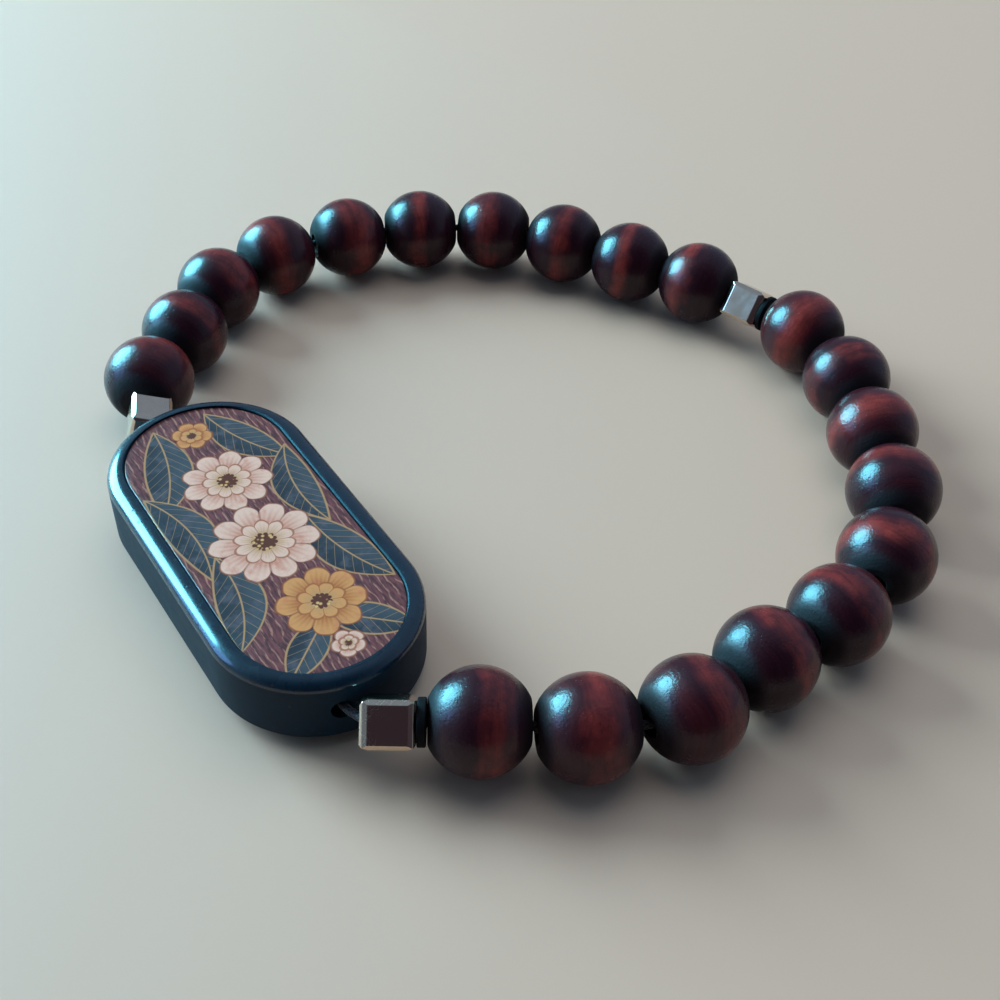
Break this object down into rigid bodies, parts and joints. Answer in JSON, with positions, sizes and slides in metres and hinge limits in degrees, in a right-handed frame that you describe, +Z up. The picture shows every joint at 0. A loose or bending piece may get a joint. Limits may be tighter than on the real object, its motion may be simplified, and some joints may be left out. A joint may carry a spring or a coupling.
{
  "type": "beaded wooden bracelet",
  "caption": "Elastic bracelet of dark wooden beads with polished metal cubes, black discs and an oblong plaque that holds a printed picture, lying as a closed loop.",
  "frame": {"origin": "middle of the bracelet's footprint, on the table it lies on", "axes": "+X along the plaque, +Y from the plaque towards the back of the loop, +Z up from the table"},
  "size_m": [0.0758, 0.0698, 0.0083],
  "materials": {
    "plaque_lacquer": "black lacquer, glossy on the rim",
    "picture_print": "coloured print under clear gloss",
    "cord_elastic": "dull black",
    "cube_metal": "mirror polish",
    "disc_black": "smooth black",
    "bead_wood": "dark brown with reddish bands under semi-gloss lacquer"
  },
  "bodies": {
    "root": {"plaque_body": "plaque_lacquer", "plaque_picture": "picture_print", "elastic_cord": "cord_elastic", "cube_1": "cube_metal", "cube_2": "cube_metal", "cube_3": "cube_metal", "disc_1": "disc_black", "disc_2": "disc_black", "bead_01": "bead_wood", "bead_02": "bead_wood", "bead_03": "bead_wood", "bead_04": "bead_wood", "bead_05": "bead_wood", "bead_06": "bead_wood", "bead_07": "bead_wood", "bead_08": "bead_wood", "bead_09": "bead_wood", "bead_10": "bead_wood", "bead_11": "bead_wood", "bead_12": "bead_wood", "bead_13": "bead_wood", "bead_14": "bead_wood", "bead_15": "bead_wood", "bead_16": "bead_wood", "bead_17": "bead_wood", "bead_18": "bead_wood", "bead_19": "bead_wood", "bead_20": "bead_wood"}
  },
  "joints": []
}
